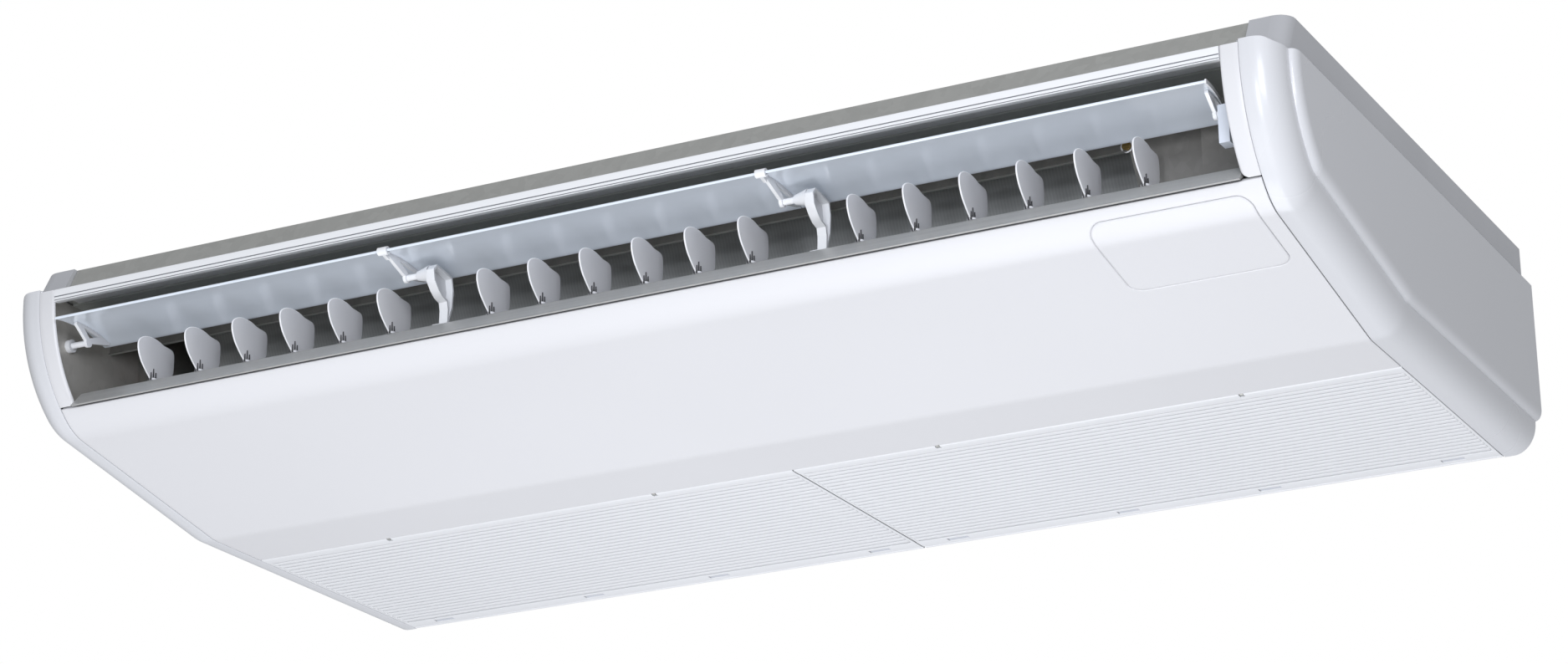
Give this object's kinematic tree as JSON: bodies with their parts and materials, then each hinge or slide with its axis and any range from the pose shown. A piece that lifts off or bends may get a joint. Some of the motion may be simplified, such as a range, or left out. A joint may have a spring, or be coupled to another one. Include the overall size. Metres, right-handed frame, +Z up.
{
  "type": "ceiling suspended air conditioner",
  "caption": "Long flat air conditioner hung from ceiling bolts: curved front with an outlet slot, swinging flap and upright vanes, hinged louvred intake grilles underneath.",
  "frame": {"origin": "centre of the four hanger slots, on the top plane of the hanger rails", "axes": "+X to the right seen from the front along the length, +Y towards the rear, away from the outlet, +Z up"},
  "size_m": [1.32, 0.6965, 0.21],
  "materials": {
    "casing_white": "glossy injection-moulded plastic",
    "rail_paint": "satin powder coat",
    "galvanised_sheet": "dull galvanised",
    "duct_lining": "matte",
    "lip_silver": "satin",
    "blade_white": "semi-gloss",
    "vane_grey": "satin",
    "linkage_grey": "satin",
    "coupler_clear": "glossy",
    "filter_net": "woven net",
    "motor_shell": "satin",
    "scroll_plastic": "matte",
    "wheel_plastic": "matte",
    "shaft_steel": "ground",
    "fin_aluminium": "satin",
    "copper_tube": "drawn",
    "pan_foam": "matte",
    "board_green": "satin",
    "screw_brass": "plated"
  },
  "bodies": {
    "casing": {"top_plate": "galvanised_sheet", "rear_plate": "galvanised_sheet", "side_plates": "galvanised_sheet", "hanger_rail_left": "rail_paint", "hanger_rail_right": "rail_paint", "outlet_trim": "casing_white", "side_panel_left": "casing_white", "side_panel_right": "casing_white", "outlet_cheek_left": "casing_white", "outlet_cheek_right": "casing_white", "front_panel": "casing_white", "receiver_cover": "casing_white", "outlet_lip": "lip_silver", "outlet_duct": "duct_lining", "flap_supports": "linkage_grey", "flap_motor": "shaft_steel", "fan_deck": "galvanised_sheet", "fan_scrolls": "scroll_plastic", "fan_motor": "motor_shell", "motor_bracket": "galvanised_sheet", "coil_fins": "fin_aluminium", "coil_tubes": "copper_tube", "drain_pan": "pan_foam", "refrigerant_pipes": "copper_tube", "control_box": "galvanised_sheet", "control_cover": "galvanised_sheet", "circuit_board": "board_green", "screws": "screw_brass"},
    "flap": {"flap_left": "blade_white", "flap_middle": "blade_white", "flap_right": "blade_white", "flap_arms": "casing_white", "flap_coupler": "coupler_clear"},
    "fan_rotor": {"fan_shaft": "shaft_steel", "fan_wheels": "wheel_plastic"},
    "grille_leaf_left": {"grille_left": "casing_white", "filter_left": "filter_net"},
    "grille_leaf_right": {"grille_right": "casing_white", "filter_right": "filter_net"},
    "vane_left_1_body": {"vane_left_1": "vane_grey"},
    "vane_left_2_body": {"vane_left_2": "vane_grey"},
    "vane_left_3_body": {"vane_left_3": "vane_grey"},
    "vane_left_4_body": {"vane_left_4": "vane_grey"},
    "vane_left_5_body": {"vane_left_5": "vane_grey"},
    "vane_left_6_body": {"vane_left_6": "vane_grey"},
    "vane_middle_1_body": {"vane_middle_1": "vane_grey"},
    "vane_middle_2_body": {"vane_middle_2": "vane_grey"},
    "vane_middle_3_body": {"vane_middle_3": "vane_grey"},
    "vane_middle_4_body": {"vane_middle_4": "vane_grey"},
    "vane_middle_5_body": {"vane_middle_5": "vane_grey"},
    "vane_middle_6_body": {"vane_middle_6": "vane_grey"},
    "vane_right_1_body": {"vane_right_1": "vane_grey"},
    "vane_right_2_body": {"vane_right_2": "vane_grey"},
    "vane_right_3_body": {"vane_right_3": "vane_grey"},
    "vane_right_4_body": {"vane_right_4": "vane_grey"},
    "vane_right_5_body": {"vane_right_5": "vane_grey"},
    "vane_right_6_body": {"vane_right_6": "vane_grey"},
    "vane_link_left": {"vane_bar_left": "linkage_grey"},
    "vane_link_middle": {"vane_bar_middle": "linkage_grey"},
    "vane_link_right": {"vane_bar_right": "linkage_grey"}
  },
  "joints": [
    {"name": "flap_hinge", "type": "hinge", "parent": "casing", "child": "flap", "pos_m": [0, -0.307, -0.084], "axis": [1, 0, 0], "range_deg": [0, 95]},
    {"name": "fan_spin", "type": "hinge", "parent": "casing", "child": "fan_rotor", "pos_m": [0, 0.187, -0.101], "axis": [1, 0, 0], "continuous": true},
    {"name": "grille_left_hinge", "type": "hinge", "parent": "casing", "child": "grille_leaf_left", "pos_m": [-0.3102, 0.0445, -0.2072], "axis": [-1, 0, 0], "range_deg": [0, 90]},
    {"name": "grille_right_hinge", "type": "hinge", "parent": "casing", "child": "grille_leaf_right", "pos_m": [0.3102, 0.0445, -0.2072], "axis": [-1, 0, 0], "range_deg": [0, 90]},
    {"name": "vane_left_1_turn", "type": "hinge", "parent": "casing", "child": "vane_left_1_body", "pos_m": [-0.52115, -0.291, -0.13], "axis": [0, 0, 1], "range_deg": [-35, 35]},
    {"name": "vane_left_2_turn", "type": "hinge", "parent": "casing", "child": "vane_left_2_body", "pos_m": [-0.46687, -0.291, -0.13], "axis": [0, 0, 1], "range_deg": [-35, 35]},
    {"name": "vane_left_3_turn", "type": "hinge", "parent": "casing", "child": "vane_left_3_body", "pos_m": [-0.41259, -0.291, -0.13], "axis": [0, 0, 1], "range_deg": [-35, 35]},
    {"name": "vane_left_4_turn", "type": "hinge", "parent": "casing", "child": "vane_left_4_body", "pos_m": [-0.35831, -0.291, -0.13], "axis": [0, 0, 1], "range_deg": [-35, 35]},
    {"name": "vane_left_5_turn", "type": "hinge", "parent": "casing", "child": "vane_left_5_body", "pos_m": [-0.30404, -0.291, -0.13], "axis": [0, 0, 1], "range_deg": [-35, 35]},
    {"name": "vane_left_6_turn", "type": "hinge", "parent": "casing", "child": "vane_left_6_body", "pos_m": [-0.24976, -0.291, -0.13], "axis": [0, 0, 1], "range_deg": [-35, 35]},
    {"name": "vane_bar_left_pin", "type": "hinge", "parent": "vane_left_1_body", "child": "vane_link_left", "pos_m": [-0.52115, -0.253, -0.1225], "axis": [0, 0, 1], "range_deg": [-35, 35]},
    {"name": "vane_middle_1_turn", "type": "hinge", "parent": "casing", "child": "vane_middle_1_body", "pos_m": [-0.1412, -0.291, -0.13], "axis": [0, 0, 1], "range_deg": [-35, 35]},
    {"name": "vane_middle_2_turn", "type": "hinge", "parent": "casing", "child": "vane_middle_2_body", "pos_m": [-0.08692, -0.291, -0.13], "axis": [0, 0, 1], "range_deg": [-35, 35]},
    {"name": "vane_middle_3_turn", "type": "hinge", "parent": "casing", "child": "vane_middle_3_body", "pos_m": [-0.03264, -0.291, -0.13], "axis": [0, 0, 1], "range_deg": [-35, 35]},
    {"name": "vane_middle_4_turn", "type": "hinge", "parent": "casing", "child": "vane_middle_4_body", "pos_m": [0.02164, -0.291, -0.13], "axis": [0, 0, 1], "range_deg": [-35, 35]},
    {"name": "vane_middle_5_turn", "type": "hinge", "parent": "casing", "child": "vane_middle_5_body", "pos_m": [0.07592, -0.291, -0.13], "axis": [0, 0, 1], "range_deg": [-35, 35]},
    {"name": "vane_middle_6_turn", "type": "hinge", "parent": "casing", "child": "vane_middle_6_body", "pos_m": [0.1302, -0.291, -0.13], "axis": [0, 0, 1], "range_deg": [-35, 35]},
    {"name": "vane_bar_middle_pin", "type": "hinge", "parent": "vane_middle_1_body", "child": "vane_link_middle", "pos_m": [-0.1412, -0.253, -0.1225], "axis": [0, 0, 1], "range_deg": [-35, 35]},
    {"name": "vane_right_1_turn", "type": "hinge", "parent": "casing", "child": "vane_right_1_body", "pos_m": [0.23876, -0.291, -0.13], "axis": [0, 0, 1], "range_deg": [-35, 35]},
    {"name": "vane_right_2_turn", "type": "hinge", "parent": "casing", "child": "vane_right_2_body", "pos_m": [0.29304, -0.291, -0.13], "axis": [0, 0, 1], "range_deg": [-35, 35]},
    {"name": "vane_right_3_turn", "type": "hinge", "parent": "casing", "child": "vane_right_3_body", "pos_m": [0.34731, -0.291, -0.13], "axis": [0, 0, 1], "range_deg": [-35, 35]},
    {"name": "vane_right_4_turn", "type": "hinge", "parent": "casing", "child": "vane_right_4_body", "pos_m": [0.40159, -0.291, -0.13], "axis": [0, 0, 1], "range_deg": [-35, 35]},
    {"name": "vane_right_5_turn", "type": "hinge", "parent": "casing", "child": "vane_right_5_body", "pos_m": [0.45587, -0.291, -0.13], "axis": [0, 0, 1], "range_deg": [-35, 35]},
    {"name": "vane_right_6_turn", "type": "hinge", "parent": "casing", "child": "vane_right_6_body", "pos_m": [0.51015, -0.291, -0.13], "axis": [0, 0, 1], "range_deg": [-35, 35]},
    {"name": "vane_bar_right_pin", "type": "hinge", "parent": "vane_right_1_body", "child": "vane_link_right", "pos_m": [0.23876, -0.253, -0.1225], "axis": [0, 0, 1], "range_deg": [-35, 35]}
  ],
  "couplings": [
    {"joint": "vane_left_2_turn", "follows": "vane_left_1_turn", "ratio": 1},
    {"joint": "vane_left_3_turn", "follows": "vane_left_1_turn", "ratio": 1},
    {"joint": "vane_left_4_turn", "follows": "vane_left_1_turn", "ratio": 1},
    {"joint": "vane_left_5_turn", "follows": "vane_left_1_turn", "ratio": 1},
    {"joint": "vane_left_6_turn", "follows": "vane_left_1_turn", "ratio": 1},
    {"joint": "vane_bar_left_pin", "follows": "vane_left_1_turn", "ratio": -1},
    {"joint": "vane_middle_2_turn", "follows": "vane_middle_1_turn", "ratio": 1},
    {"joint": "vane_middle_3_turn", "follows": "vane_middle_1_turn", "ratio": 1},
    {"joint": "vane_middle_4_turn", "follows": "vane_middle_1_turn", "ratio": 1},
    {"joint": "vane_middle_5_turn", "follows": "vane_middle_1_turn", "ratio": 1},
    {"joint": "vane_middle_6_turn", "follows": "vane_middle_1_turn", "ratio": 1},
    {"joint": "vane_bar_middle_pin", "follows": "vane_middle_1_turn", "ratio": -1},
    {"joint": "vane_right_2_turn", "follows": "vane_right_1_turn", "ratio": 1},
    {"joint": "vane_right_3_turn", "follows": "vane_right_1_turn", "ratio": 1},
    {"joint": "vane_right_4_turn", "follows": "vane_right_1_turn", "ratio": 1},
    {"joint": "vane_right_5_turn", "follows": "vane_right_1_turn", "ratio": 1},
    {"joint": "vane_right_6_turn", "follows": "vane_right_1_turn", "ratio": 1},
    {"joint": "vane_bar_right_pin", "follows": "vane_right_1_turn", "ratio": -1}
  ]
}
